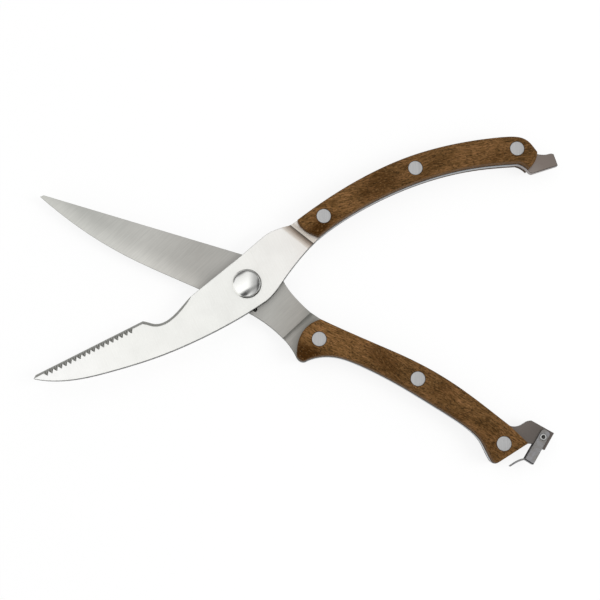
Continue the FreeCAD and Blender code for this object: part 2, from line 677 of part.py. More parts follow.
def make_latch():
    """Bent strip, drawn upright with its pin at the origin: two ears, a bridge and a thumb tab."""
    body = new_body("latch")
    half_wide = dim("latch_wide") / 2
    inside = half_tang + dim("latch_play")
    outside = inside + dim("latch_sheet")
    reach = dim("latch_reach")
    top = reach + dim("latch_sheet")
    tail = dim("latch_tail")
    corner = 1.6
    cut_in = corner * (1 - math.sqrt(0.5))
    ear_outline = [
        [(half_wide, top), (-half_wide, top)], [(-half_wide, top), (-half_wide, corner - tail)],
        [(-half_wide, corner - tail), (cut_in - half_wide, cut_in - tail), (corner - half_wide, -tail)],
        [(corner - half_wide, -tail), (half_wide - corner, -tail)],
        [(half_wide - corner, -tail), (half_wide - cut_in, cut_in - tail), (half_wide, corner - tail)],
        [(half_wide, corner - tail), (half_wide, top)],
    ]
    ear_face = f"({HALF_TANG} + Dims.latch_play + Dims.latch_sheet)"
    ears = new_sketch(body, "XY_Plane", "latch_ears", f"-1 * {ear_face}")
    draw(ears, ear_outline)
    block = pad(body, ears, f"2 * {ear_face}")
    bends = body.newObject("PartDesign::Fillet", "latch_bends")
    outer_edges = []
    for number, edge in enumerate(block.Shape.Edges, start=1):
        middle = edge.CenterOfMass
        if middle.y > top - 0.01 and abs(middle.z) > outside - 0.01:
            outer_edges.append(f"Edge{number}")
    bends.Base = (block, outer_edges)
    bends.setExpression("Radius", cell("latch_bend"))
    doc.recompute()
    gap = new_sketch(body, "YZ_Plane", "latch_gap")
    draw_polygon(gap, [(reach, inside), (-tail - 1, inside), (-tail - 1, -inside), (reach, -inside)])
    pocket_through(body, gap)

    # Thumb tab, bent out from the bridge's free edge.
    turn = math.radians(dim("thumb_turn"))
    sheet_thick = dim("latch_sheet")
    along = Vector(math.cos(turn), math.sin(turn), 0)
    across = Vector(-math.sin(turn), math.cos(turn), 0) * sheet_thick
    root = Vector(half_wide - 0.5, reach, 0)
    end = Vector(half_wide, reach, 0) + along * dim("thumb_length")
    thumb = new_sketch(body, "XY_Plane", "latch_thumb", f"-1 * ({HALF_TANG} + Dims.latch_play)")
    corners = [root, Vector(half_wide, reach, 0), end, end + across, Vector(half_wide, reach, 0) + across,
               Vector(half_wide - 0.5, top, 0)]
    draw_polygon(thumb, [(point.x, point.y) for point in corners])
    pad(body, thumb, f"2 * ({HALF_TANG} + Dims.latch_play)")

    hole = new_sketch(body, "XY_Plane", "latch_ear_holes")
    draw_circle(hole, (0, 0), "Dims.latch_pin_dia + 2 * Dims.running_play")
    pocket_through(body, hole)
    return body


# ---------------------------------------------------------------- assembly

serrated_nodes = []
plain_nodes = []

serrated_blade = make_serrated_blade()
drill_rivets(serrated_blade, SERRATED_RIVETS)
plain_blade = make_plain_blade()
drill_rivets(plain_blade, PLAIN_RIVETS)
serrated_nodes.append((serrated_blade, Placement()))
plain_nodes.append((plain_blade, Placement()))

for facing, side in (("front", 1), ("rear", -1)):
    scale = make_scale("serrated_scale_" + facing, serrated_scale_outline, SERRATED_RIVETS, side)
    serrated_nodes.append((scale, Placement()))
    scale = make_scale("plain_scale_" + facing, plain_scale_outline, PLAIN_RIVETS, side)
    plain_nodes.append((scale, Placement()))

riveted = [("serrated", SERRATED_RIVETS, serrated_nodes), ("plain", PLAIN_RIVETS, plain_nodes)]
for half, rivets, nodes in riveted:
    for number, (x, y) in enumerate(rivets, start=1):
        spot = Placement(Vector(x, y, 0), Rotation())
        nodes.append((make_rivet_sleeve(f"{half}_rivet_sleeve_{number}"), spot))
        nodes.append((make_rivet_pin(f"{half}_rivet_pin_{number}"), spot))

serrated_nodes.append((make_pivot_screw(), Placement()))
serrated_nodes.append((make_pivot_washer(), Placement()))
serrated_nodes.append((make_pivot_nut(), Placement()))
serrated_nodes.append((make_stop_pin(), Placement(polar(dim("stop_radius"), dim("stop_turn")), Rotation())))
serrated_nodes.append((make_opening_spring(), Placement()))
latch_spot = Vector(dim("latch_pin_x"), dim("latch_pin_y"), 0)
plain_nodes.append((make_latch_pin(), Placement(latch_spot, Rotation())))
plain_nodes.append((make_latch(), Placement(latch_spot, Rotation(Vector(0, 0, 1), dim("latch_hang")))))

z_axis = Vector(0, 0, 1)
for nodes, turn in ((serrated_nodes, dim("serrated_open")), (plain_nodes, dim("plain_open"))):
    half = Placement(Vector(0, 0, 0), Rotation(z_axis, turn))
    for node, place in nodes:
        node.Placement = half.multiply(place)
doc.recompute()

# The origin is the bottom centre of the box round the open shears.
box = FreeCAD.BoundBox()
for node in subparts:
    box.add(node.Shape.optimalBoundingBox(False, True))
origin = Vector(box.Center.x, box.Center.y, box.ZMin)
for node in subparts:
    node.Placement = Placement(origin * -1, Rotation()).multiply(node.Placement)
doc.recompute()

# ---------------------------------------------------------------- checks and export

for item in doc.Objects:
    if "Invalid" in item.State or "Error" in item.State:
        raise RuntimeError(f"{item.Label} failed to build")
for node in subparts:
    shape = node.Shape
    if shape.isNull() or not shape.isValid() or len(shape.Solids) != 1:
        raise RuntimeError(f"{node.Label} is not one valid solid")

os.makedirs("parts", exist_ok=True)
for node in subparts:
    node.Shape.exportStep(f"parts/{node.Label}.step")
pivot = origin * -1
print(f"pivot at {pivot.x:.4f} {pivot.y:.4f} {pivot.z:.4f}")
print(f"size {box.XLength:.2f} x {box.YLength:.2f} x {box.ZLength:.2f} mm, {len(subparts)} sub-parts")
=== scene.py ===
import bmesh
import bpy
import json
import math
from mathutils import Matrix, Vector


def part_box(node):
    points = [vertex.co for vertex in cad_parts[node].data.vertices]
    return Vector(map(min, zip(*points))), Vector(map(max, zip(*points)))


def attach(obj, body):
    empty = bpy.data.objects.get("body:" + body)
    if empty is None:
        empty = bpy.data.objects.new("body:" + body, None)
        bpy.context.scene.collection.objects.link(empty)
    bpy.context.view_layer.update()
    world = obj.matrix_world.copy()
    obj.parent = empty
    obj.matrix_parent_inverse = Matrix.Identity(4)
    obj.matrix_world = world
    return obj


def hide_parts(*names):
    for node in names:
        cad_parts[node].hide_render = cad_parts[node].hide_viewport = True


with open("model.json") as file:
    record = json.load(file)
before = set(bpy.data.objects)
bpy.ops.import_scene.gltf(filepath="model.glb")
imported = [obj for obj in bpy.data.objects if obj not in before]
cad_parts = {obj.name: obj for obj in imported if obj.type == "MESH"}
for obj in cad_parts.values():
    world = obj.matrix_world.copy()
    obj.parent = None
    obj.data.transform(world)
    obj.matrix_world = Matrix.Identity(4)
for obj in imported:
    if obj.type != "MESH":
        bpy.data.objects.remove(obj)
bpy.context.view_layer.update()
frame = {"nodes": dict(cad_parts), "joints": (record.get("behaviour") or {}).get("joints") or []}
nodes = frame["nodes"]
joints = {joint["name"]: joint for joint in frame["joints"]}
pivot = Vector(joints["pivot"]["pos_m"])
latchPin = Vector(joints["latch_hinge"]["pos_m"])
serratedTurn = 30.0  # degrees that each half lies turned from its closed place
plainTurn = -17.0
noiseSpread = {"From Min": 0.3, "From Max": 0.7}  # the values that noise mostly keeps to
print("frame loaded:", len(nodes), "nodes")


def linearColour(hexText):
    channels = [int(hexText[i:i + 2], 16) / 255 for i in (1, 3, 5)]
    return [c / 12.92 if c <= 0.04045 else ((c + 0.055) / 1.055) ** 2.4 for c in channels] + [1.0]


def addNode(tree, kind, inputs=None, stops=None, **settings):
    node = tree.nodes.new("ShaderNode" + kind)
    for name, value in settings.items():
        setattr(node, name, value)
    for name, value in (inputs or {}).items():
        if isinstance(value, bpy.types.NodeSocket):
            tree.links.new(value, node.inputs[name])
        else:
            node.inputs[name].default_value = value
    if stops:
        ramp = node.color_ramp
        while len(ramp.elements) < len(stops):
            ramp.elements.new(0.5)
        for element, (place, colour) in zip(ramp.elements, stops):
            element.position = place
            element.color = linearColour(colour) if isinstance(colour, str) else [colour] * 3 + [1.0]
    return node


def newMaterial(name):
    material = bpy.data.materials.new(name)
    material.use_nodes = True
    tree = material.node_tree
    tree.nodes.clear()
    shader = addNode(tree, "BsdfPrincipled")
    addNode(tree, "OutputMaterial", {"Surface": shader.outputs[0]})
    return material, tree, shader


def levelness(tree, normal="Normal"):
    # how far a face looks straight up or down, from 0 to 1
    facing = addNode(tree, "SeparateXYZ", {0: addNode(tree, "NewGeometry").outputs[normal]})
    return addNode(tree, "Math", {0: facing.outputs[2]}, operation="ABSOLUTE").outputs[0]


def asShares(stops, first, last):
    # stops given in mm, as shares of the way from first to last
    return [((mm - first) / (last - first), tone) for mm, tone in stops]


def newPiece(name, data):
    piece = bpy.data.objects.new(name, data)
    bpy.context.scene.collection.objects.link(piece)
    return piece


def halfPlace(tree, turn):
    # place on a half in its own directions: x from the pivot along the closed shears, in metres
    coords = addNode(tree, "TexCoord")
    return addNode(tree, "Mapping", {"Vector": coords.outputs["Object"], "Location": pivot,
                                     "Rotation": (0, 0, math.radians(turn))}, vector_type="TEXTURE").outputs[0]


# ---- steel halves

sheetSteel = {  # what both halves share
    "lineLength": 22,       # how many times longer than wide a grinding line is
    "lineRough": 0.7,
    "cloudScale": 95.0,
    "cloudTones": (0.965, 1.03),
    "roughSpread": (-0.05, 0.07),
    "lineDepth": 0.05,      # mm, in the bump
    "lineBump": 0.3,
    "wornMetallic": 0.25,   # where the sheet is ground aslant it is dull
    # shares of the ground look and of the sheared look, by how far a face looks up or down
    "groundFacing": [(0.12, 0.0), (0.2, 1.0), (0.6, 1.0), (0.72, 0.5), (0.9, 0.1), (0.985, 0.0)],
    "sideFacing": [(0.08, 1.0), (0.16, 0.0)],
    # where the ground look is kept, in shares of the way over the step to the tang
    "besideStep": [(0.02, 1.0), (0.1, 0.0), (0.9, 0.0), (0.98, 1.0)],
    # how far an edge's rounding leans before its painted shade or painted highlight starts, and on which faces
    "leanDown": (-0.3, -0.02),
    "leanUp": (0.02, 0.4),
    "flatFacing": (0.4, 0.5),
}
serratedSteel = {
    "turn": serratedTurn,
    "lines": 86,            # degrees between the grinding lines and the half's length
    # tones along the half, in mm from the pivot: the steel's own tone with painted reflection and painted shade,
    # darker towards the handle end
    "lengthStops": [(-102, "#fdfdfb"), (-60, "#f7f7f3"), (-40, "#f4f4f0"), (-5, "#f4f4f0"), (25, "#f4f2ee"),
                    (37, "#e9e3dc"), (42, "#b2aca6"), (134, "#a29a94"), (143, "#8a7f78"), (150, "#857b74")],
    "edgeLine": None,
    # the ground bevels' colour: darker, a painted dark reflection over their duller finish
    "groundColour": "#73736c",
    # sheared sides: dark along the blade and at the end, a painted shade, and pale along the handle
    "sideStops": [(-102, "#1f1e1b"), (34, "#1f1e1b"), (40, "#8e9194"), (128, "#8e9194"), (137, "#8b817d"),
                  (150, "#4c4541")],
    "metallic": 0.9,
    "roughness": 0.34,
    "lineSpacing": 0.65,    # mm, a little coarser than real grinding lines, which would only blur
    "lineContrast": 0.055,
    "brokenEdge": 0.5,      # mm over which the edges' burr is rubbed off, and over which their painted shade and highlight lie
    "edgeShadeAndHighlight": (0.95, 0.14),  # share of tone that the edges turned down lose to painted shade, and that those turned up gain as painted highlight
    # the step down to the tang: direction and place of its foot, and the painted shade on both sides of it, in mm
    "foot": ((0.931, 0.366), 32.2),
    "footStops": [(-3.2, "#ffffff"), (-2.9, "#f7f5f3"), (-2.5, "#dfd9d3"), (-1.2, "#cdc4bc"), (-0.4, "#bbafa5"),
                  (0.2, "#a2968b"), (0.35, "#948980"), (0.45, "#57514a"), (0.8, "#57514a"), (1.0, "#ebe7e1"),
                  (2.2, "#efece7"), (3.0, "#ffffff")],
}
plainSteel = {
    "turn": plainTurn,
    "lines": 61,
    # tones along the half, in mm from the pivot: the steel's own tone with painted reflection and painted shade,
    # darker beside the other blade, at the step and towards the handle end
    "lengthStops": [(-102, "#b2b2ad"), (-75, "#b2b2ad"), (-50, "#b9b8b3"), (-25, "#a9a7a2"), (12, "#afaea9"),
                    (26, "#a4a19b"), (31, "#8a8983"), (40, "#938f88"), (128, "#746c66"), (139, "#635c57"),
                    (150, "#5e5651")],
    # the cutting edge in the half's own directions; the flat is ground paler along it
    "edgeLine": [(-101, 10.9), (-88, 5.6), (-75, 1.2), (-60, -2.6), (-40, -5.8), (-20, -8.15), (0, -11.0)],
    "edgeGlow": 0.30,
    "edgeReach": 9.0,       # mm in from the edge
    "glowStarts": (-14, -24),   # mm from the pivot, where the paler edge fades in
    # the ground bevels' colour: darker, a painted dark reflection over their duller finish
    "groundColour": "#7b7b74",
    # sheared sides: dark along the blade and at the end, a painted shade, and pale along the handle
    "sideStops": [(-102, "#6b6a65"), (28, "#54534e"), (38, "#a9adb1"), (124, "#a9adb1"), (132, "#4a4542"),
                  (150, "#38342f")],
    "metallic": 0.4,
    "roughness": 0.36,
    "lineSpacing": 0.65,
    "lineContrast": 0.105,
    "brokenEdge": 0.32,
    "edgeShadeAndHighlight": (0.65, 0.1),
    "foot": None,
}


def brushedStainless(name, look):
    # satin stainless sheet, belt ground: a metal with fine straight streaks; its tones along the half, its darker
    # sheared sides, the step and the edges carry painted light and shade
    material, tree, shader = newMaterial(name)
    place = halfPlace(tree, look["turn"])
    split = addNode(tree, "SeparateXYZ", {0: place})
    first, last = look["lengthStops"][0][0], look["lengthStops"][-1][0]
    along = addNode(tree, "MapRange", {"Value": split.outputs[0], "From Min": first / 1000, "From Max": last / 1000})
    flat = addNode(tree, "ValToRGB", {0: along.outputs[0]},
                   stops=asShares(look["lengthStops"], first, last)).outputs[0]
    if look["edgeLine"]:
        line = look["edgeLine"]
        low, span = line[-1][1], line[0][1] - line[-1][1]
        edgePart = addNode(tree, "MapRange", {"Value": split.outputs[0], "From Min": line[0][0] / 1000,
                                              "From Max": line[-1][0] / 1000})
        edgeHeight = addNode(tree, "ValToRGB", {0: edgePart.outputs[0]},
                             stops=[((x - line[0][0]) / (line[-1][0] - line[0][0]), (y - low) / span)
                                    for x, y in line])
        edgeY = addNode(tree, "MapRange", {"Value": edgeHeight.outputs[0], "To Min": low / 1000,
                                           "To Max": (low + span) / 1000})
        inward = addNode(tree, "Math", {0: split.outputs[1], 1: edgeY.outputs[0]}, operation="SUBTRACT")
        glow = addNode(tree, "MapRange", {"Value": inward.outputs[0], "From Max": look["edgeReach"] / 1000,
                                          "To Min": 1 + look["edgeGlow"], "To Max": 1.0},
                       interpolation_type="SMOOTHSTEP")
        nearEnd, farEnd = look["glowStarts"]
        onBlade = addNode(tree, "MapRange", {"Value": split.outputs[0], "From Min": nearEnd / 1000,
                                             "From Max": farEnd / 1000})
        glowHere = addNode(tree, "Mix", {0: onBlade.outputs[0], 2: 1.0, 3: glow.outputs[0]})
        flat = addNode(tree, "VectorMath", {0: flat, 3: glowHere.outputs[0]}, operation="SCALE").outputs[0]
    perMetre = 1000 / look["lineSpacing"]
    lengthwise = perMetre / look["lineLength"]
    turned = addNode(tree, "Mapping", {"Vector": place, "Rotation": (0, 0, math.radians(look["lines"]))},
                     vector_type="TEXTURE")
    stretched = addNode(tree, "VectorMath", {0: turned.outputs[0], 1: (lengthwise, perMetre, lengthwise)},
                        operation="MULTIPLY")
    lines = addNode(tree, "TexNoise", {"Vector": stretched.outputs[0], "Scale": 1.0, "Detail": 3.0,
                                       "Roughness": look["lineRough"]})
    clouds = addNode(tree, "TexNoise", {"Vector": place, "Scale": look["cloudScale"], "Detail": 2.0})
    lineTone = addNode(tree, "MapRange", {"Value": lines.outputs[0], "From Min": 0.25, "From Max": 0.75,
                                          "To Min": 1 - look["lineContrast"], "To Max": 1 + look["lineContrast"]})
    cloudTone = addNode(tree, "MapRange", {"Value": clouds.outputs[0], **noiseSpread,
                                           "To Min": look["cloudTones"][0], "To Max": look["cloudTones"][1]})
    tone = addNode(tree, "Math", {0: lineTone.outputs[0], 1: cloudTone.outputs[0]}, operation="MULTIPLY")
    level = levelness(tree)
    groundMask = addNode(tree, "ValToRGB", {0: level}, stops=look["groundFacing"])
    darkened = worn = groundMask
    if look["foot"]:
        (footX, footY), footAt = look["foot"]
        steps = look["footStops"]
        stepFrom, stepTo = steps[0][0], steps[-1][0]
        ahead = addNode(tree, "VectorMath", {0: place, 1: (footX, footY, 0)}, operation="DOT_PRODUCT")
        onStep = addNode(tree, "MapRange", {"Value": ahead.outputs["Value"], "From Min": (footAt + stepFrom) / 1000,
                                            "From Max": (footAt + stepTo) / 1000})
        # the painted shade on both sides of the step
        paintedStepShade = addNode(tree, "ValToRGB", {0: onStep.outputs[0]}, stops=asShares(steps, stepFrom, stepTo))
        flat = addNode(tree, "VectorMath", {0: flat, 1: paintedStepShade.outputs[0]}, operation="MULTIPLY").outputs[0]
        offStep = addNode(tree, "ValToRGB", {0: onStep.outputs[0]}, stops=look["besideStep"])
        darkened = addNode(tree, "Math", {0: groundMask.outputs[0], 1: offStep.outputs[0]}, operation="MULTIPLY")
        onFoot = addNode(tree, "Math", {0: 1.0, 1: offStep.outputs[0]}, operation="SUBTRACT")
        worn = addNode(tree, "Math", {0: groundMask.outputs[0], 1: onFoot.outputs[0]}, operation="MAXIMUM")
    toned = addNode(tree, "VectorMath", {0: flat, 3: tone.outputs[0]}, operation="SCALE")
    sideMask = addNode(tree, "ValToRGB", {0: level}, stops=look["sideFacing"])
    groundTone = addNode(tree, "VectorMath", {0: linearColour(look["groundColour"])[:3], 3: tone.outputs[0]},
                         operation="SCALE")
    ground = addNode(tree, "Mix", {0: darkened.outputs[0], 6: toned.outputs[0], 7: groundTone.outputs[0]},
                     data_type="RGBA")
    side = addNode(tree, "ValToRGB", {0: along.outputs[0]}, stops=asShares(look["sideStops"], first, last))
    colour = addNode(tree, "Mix", {0: sideMask.outputs[0], 6: ground.outputs[2], 7: side.outputs[0]},
                     data_type="RGBA")
    smoothest, roughest = [look["roughness"] + spread for spread in look["roughSpread"]]
    rough = addNode(tree, "MapRange", {"Value": lines.outputs[0], **noiseSpread,
                                       "To Min": smoothest, "To Max": roughest})
    # the edges: painted shade where they turn down, painted highlight where they turn up
    rounded = addNode(tree, "Bevel", {"Radius": look["brokenEdge"] / 1000}, samples=6)
    trueNormal = addNode(tree, "NewGeometry").outputs["True Normal"]
    leaning = addNode(tree, "VectorMath", {0: rounded.outputs[0], 1: trueNormal}, operation="SUBTRACT")
    lean = addNode(tree, "SeparateXYZ", {0: leaning.outputs[0]})
    loss, gain = look["edgeShadeAndHighlight"]
    (mostDown, leastDown), (leastUp, mostUp) = look["leanDown"], look["leanUp"]
    edgeShade = addNode(tree, "MapRange", {"Value": lean.outputs[1], "From Min": mostDown, "From Max": leastDown,
                                          "To Min": 1 - loss, "To Max": 1.0})
    edgeHighlight = addNode(tree, "MapRange", {"Value": lean.outputs[1], "From Min": leastUp, "From Max": mostUp,
                                        "To Min": 0.0, "To Max": gain})
    leanTone = addNode(tree, "Math", {0: edgeShade.outputs[0], 1: edgeHighlight.outputs[0]}, operation="ADD")
    onFlats = addNode(tree, "MapRange", {"Value": level, "From Min": look["flatFacing"][0],
                                         "From Max": look["flatFacing"][1]})
    edgeTone = addNode(tree, "Mix", {0: onFlats.outputs[0], 2: 1.0, 3: leanTone.outputs[0]})
    edged = addNode(tree, "VectorMath", {0: colour.outputs[2], 3: edgeTone.outputs[0]}, operation="SCALE")
    bump = addNode(tree, "Bump", {"Height": lines.outputs[0], "Strength": look["lineBump"],
                                  "Distance": look["lineDepth"] / 1000, "Normal": rounded.outputs[0]})
    metal = addNode(tree, "MapRange", {"Value": worn.outputs[0], "From Min": 0.5, "To Min": look["metallic"],
                                       "To Max": look["wornMetallic"]})
    tree.links.new(edged.outputs[0], shader.inputs["Base Color"])
    tree.links.new(metal.outputs[0], shader.inputs["Metallic"])
    tree.links.new(rough.outputs[0], shader.inputs["Roughness"])
    tree.links.new(bump.outputs[0], shader.inputs["Normal"])
    return material


def paint(names, material):
    for name in names:
        nodes[name].data.materials.clear()
        nodes[name].data.materials.append(material)


paint(["serrated_blade"], brushedStainless("brushedStainlessSerrated", {**sheetSteel, **serratedSteel}))
paint(["plain_blade"], brushedStainless("brushedStainlessPlain", {**sheetSteel, **plainSteel}))
print("blades finished")


# ---- walnut scales

walnut = {
    "dark": "#34220a", "brown": "#5f4322", "light": "#855f3b",
    "heart": "#3e2300",     # heartwood patches, darker and warmer
    "edge": "#5f421f",
    "shadedRearEdge": "#2b2723",    # the rear scales' sides, painted dark as shade
    "streakLevels": (0.34, 0.49, 0.64),     # where the streaks reach each of the first three colours
    "figureShare": 0.3,     # of the cloudy figure in the streaks
    # size along and across the grain in mm, and detail; the pores are a little wider than real ones, which
    # would only blur
    "patterns": {"streaks": (4.4, 0.42, 4.0), "clouds": (13.0, 4.0, 3.0), "pores": (1.3, 0.42, 1.5),
                 "flecks": (1.04, 0.546, 1.5)},
    "patternRough": 0.62,
    "apart": 10.0,          # mm between the places of two patterns in the noise
    # colour, pattern levels and strength
    "pores": ("#271804", [(0.37, 1.0), (0.45, 0.0)], 0.72),
    "flecks": ("#8f6d45", [(0.56, 0.0), (0.68, 1.0)], 0.4),
    "wanderScale": 60.0,
    "fibreWander": 5.0,     # mm that the fibres wander from straight
    "patchWander": 14.0,    # mm that the heartwood's borders wander
    "patchFade": (0.3, 1.1),    # shares of a patch's size between which it fades
    "edgeFacing": [(0.2, 0.6), (0.8, 0.0)],
    "roughness": 0.6,
    "roughSpread": (0.08, -0.06),
    "relief": 0.08,         # mm, in the bump
    "reliefBump": 0.35,
    "specular": 0.1,        # oiled, not varnished
}
woodPlaces = {  # turn of the half, run of the grain on it, shift of the pattern in mm
    "serrated_scale_front": (serratedTurn, -17, (0, 0, 0)),
    "serrated_scale_rear": (serratedTurn, -14, (31, 12, 9)),
    "plain_scale_front": (plainTurn, -15, (67, -23, 4)),
    "plain_scale_rear": (plainTurn, -12, (-41, 19, 15)),
}
# tone along the handle, and heartwood patches: middle, half length and half width in mm, strength
woodTones = [(30, 1.32), (50, 1.28), (62, 1.06), (78, 0.94), (92, 1.0), (112, 1.04), (126, 1.04), (140, 0.96),
             (150, 0.96)]
heartwood = {
    "serrated": [((72.5, 9.0), (13, 7.5), 0.55), ((40.5, 4.5), (12, 6), 1.0), ((98.0, 2.0), (13, 3), 0.3),
                 ((128.0, -6.0), (14, 5), 0.3)],
    "plain": [((34.5, -24.0), (13, 7.5), 1.0), ((67.0, -17.0), (11, 6.5), 0.6), ((104.0, -29.0), (12, 3.5), 0.45),
              ((97.0, -21.0), (9, 5), 0.35), ((122.0, -35.0), (14, 7), 0.3)],
}


def oiledWalnut(name, look, turn, grain, shift):
    # oiled walnut, sanded and rounded over: matt brown, with open pores, flecks and cloudy figure
    material, tree, shader = newMaterial(name)
    coords = addNode(tree, "TexCoord")
    place = addNode(tree, "Mapping", {"Vector": coords.outputs["Object"], "Location": [mm / 1000 for mm in shift],
                                      "Rotation": (0, 0, math.radians(turn + grain))},
                    vector_type="TEXTURE").outputs[0]
    warp = addNode(tree, "TexNoise", {"Vector": place, "Scale": look["wanderScale"], "Detail": 1.0})
    wander = addNode(tree, "VectorMath", {0: warp.outputs["Color"], 1: (0.5, 0.5, 0.5)}, operation="SUBTRACT")
    bend = addNode(tree, "VectorMath", {0: wander.outputs[0], 3: look["fibreWander"] / 1000}, operation="SCALE")
    bent = addNode(tree, "VectorMath", {0: place, 1: bend.outputs[0]}, operation="ADD").outputs[0]

    patterns = {}
    for pattern, (along, across, detail) in look["patterns"].items():
        lift = look["apart"] / 1000 * len(patterns)
        moved = addNode(tree, "VectorMath", {0: bent, 1: (0.0, 0.0, lift)}, operation="ADD")
        scaled = addNode(tree, "VectorMath", {0: moved.outputs[0], 1: (1000 / along, 1000 / across, 1000 / across)},
                         operation="MULTIPLY")
        patterns[pattern] = addNode(tree, "TexNoise", {"Vector": scaled.outputs[0], "Scale": 1.0, "Detail": detail,
                                                       "Roughness": look["patternRough"]}).outputs[0]
    mixed = addNode(tree, "Mix", {0: look["figureShare"], 2: patterns["streaks"], 3: patterns["clouds"]})
    body = addNode(tree, "ValToRGB", {0: mixed.outputs[0]},
                   stops=list(zip(look["streakLevels"], (look["dark"], look["brown"], look["light"])))).outputs[0]

    onHalf = halfPlace(tree, turn)
    split = addNode(tree, "SeparateXYZ", {0: onHalf})
    first, last = woodTones[0][0], woodTones[-1][0]
    along = addNode(tree, "MapRange", {"Value": split.outputs[0], "From Min": first / 1000, "From Max": last / 1000})
    # a ramp holds no tone above 1, so it holds half tones
    tone = addNode(tree, "ValToRGB", {0: along.outputs[0]},
                   stops=asShares([(mm, tone / 2) for mm, tone in woodTones], first, last))
    toned = addNode(tree, "VectorMath", {0: body, 1: tone.outputs[0]}, operation="MULTIPLY")
    body = addNode(tree, "VectorMath", {0: toned.outputs[0], 3: 2.0}, operation="SCALE").outputs[0]
    drift = addNode(tree, "VectorMath", {0: wander.outputs[0], 3: look["patchWander"] / 1000}, operation="SCALE")
    loose = addNode(tree, "VectorMath", {0: onHalf, 1: drift.outputs[0]}, operation="ADD").outputs[0]
    for (middleX, middleY), (halfLong, halfWide), strength in heartwood[name.split("_")[1]]:
        spot = addNode(tree, "VectorMath", {0: loose, 1: (middleX / 1000, middleY / 1000, 0)}, operation="SUBTRACT")
        shaped = addNode(tree, "VectorMath", {0: spot.outputs[0], 1: (1000 / halfLong, 1000 / halfWide, 0)},
                         operation="MULTIPLY")
        reach = addNode(tree, "VectorMath", {0: shaped.outputs[0]}, operation="LENGTH")
        patch = addNode(tree, "MapRange", {"Value": reach.outputs["Value"], "From Min": look["patchFade"][0],
                                           "From Max": look["patchFade"][1], "To Min": strength, "To Max": 0.0},
                        interpolation_type="SMOOTHSTEP")
        body = addNode(tree, "Mix", {0: patch.outputs[0], 6: body, 7: linearColour(look["heart"])},
                       data_type="RGBA").outputs[2]

    masks = {}
    for pattern in ("pores", "flecks"):
        tint, levels, strength = look[pattern]
        masks[pattern] = addNode(tree, "ValToRGB", {0: patterns[pattern]}, stops=levels).outputs[0]
        share = addNode(tree, "Math", {0: masks[pattern], 1: strength}, operation="MULTIPLY")
        body = addNode(tree, "Mix", {0: share.outputs[0], 6: body, 7: linearColour(tint)},
                       data_type="RGBA").outputs[2]
    level = levelness(tree)
    edgeMask = addNode(tree, "ValToRGB", {0: level}, stops=look["edgeFacing"])
    colour = addNode(tree, "Mix", {0: edgeMask.outputs[0], 6: body, 7: linearColour(look["edge"])},
                     data_type="RGBA")
    roughest, smoothest = [look["roughness"] + spread for spread in look["roughSpread"]]
    rough = addNode(tree, "MapRange", {"Value": mixed.outputs[0], **noiseSpread,
                                       "To Min": roughest, "To Max": smoothest})
    height = addNode(tree, "Math", {0: patterns["streaks"], 1: masks["pores"]}, operation="SUBTRACT")
    bump = addNode(tree, "Bump", {"Height": height.outputs[0], "Strength": look["reliefBump"],
                                  "Distance": look["relief"] / 1000})
    tree.links.new(colour.outputs[2], shader.inputs["Base Color"])
    tree.links.new(rough.outputs[0], shader.inputs["Roughness"])
    tree.links.new(bump.outputs[0], shader.inputs["Normal"])
    shader.inputs["Specular IOR Level"].default_value = look["specular"]
    return material


for name, (turn, grain, shift) in woodPlaces.items():
    # the rear scales' sides take the painted shade
    look = dict(walnut, edge=walnut["shadedRearEdge"]) if name.endswith("rear") else walnut
    paint([name], oiledWalnut("oiledWalnut_" + name, look, turn, grain, shift))
print("scales finished")


# ---- turned steel pieces: rivets, pivot screw, nut and washer

satinRivet = {"colour": "#b6b6b6", "rim": "#d8dadb", "roughness": 0.4, "metallic": 0.5,
              "lineSpacing": 0.55, "lineLength": 25, "lineTones": (0.92, 1.06),
              "rimFacing": [(0.9, 1.0), (0.985, 0.0)]}
# the dome's foot is painted dark as shade all round, except on one side, set below, where the painted shade is left
# out
polished = {"colour": "#fbfbf8", "roughness": 0.15, "rim": "#2b2a27", "rimDark": 0.5, "rimClear": 0.72,
            "unshadedSide": (-0.98, -0.2, 0.0), "unshadedFrom": (0.4, 0.75), "unshadedShare": 0.7}
wipeMarks = {"scale": 900.0, "smoother": 0.75, "rougher": 1.3}
plainBright = {"colour": "#a9a8a5", "roughness": 0.3, "rim": "#6a6965", "rimDark": 0.1, "rimClear": 0.6}


def turnedSteel(name, look):
    # turned and polished stainless: a smooth metal with faint wipe marks, painted darker as shade where it turns down
    # to its foot
    material, tree, shader = newMaterial(name)
    coords = addNode(tree, "TexCoord")
    marks = addNode(tree, "TexNoise", {"Vector": coords.outputs["Object"], "Scale": wipeMarks["scale"], "Detail": 2.0})
    rough = addNode(tree, "MapRange", {"Value": marks.outputs[0], **noiseSpread,
                                       "To Min": look["roughness"] * wipeMarks["smoother"],
                                       "To Max": look["roughness"] * wipeMarks["rougher"]})
    level = levelness(tree, "True Normal")
    if "unshadedSide" in look:
        trueNormal = addNode(tree, "NewGeometry").outputs["True Normal"]
        sideways = addNode(tree, "VectorMath", {0: trueNormal, 1: look["unshadedSide"]}, operation="DOT_PRODUCT")
        unshading = addNode(tree, "MapRange", {"Value": sideways.outputs["Value"], "From Min": look["unshadedFrom"][0],
                                              "From Max": look["unshadedFrom"][1], "To Max": look["unshadedShare"]})
        level = addNode(tree, "Math", {0: level, 1: unshading.outputs[0]}, operation="ADD").outputs[0]
    # painted shade where a face turns away from looking up or down
    rimTone = addNode(tree, "ValToRGB", {0: level},
                      stops=[(look["rimDark"], look["rim"]), (look["rimClear"], look["colour"])])
    tree.links.new(rimTone.outputs[0], shader.inputs["Base Color"])
    tree.links.new(rough.outputs[0], shader.inputs["Roughness"])
    shader.inputs["Metallic"].default_value = 1.0
    return material


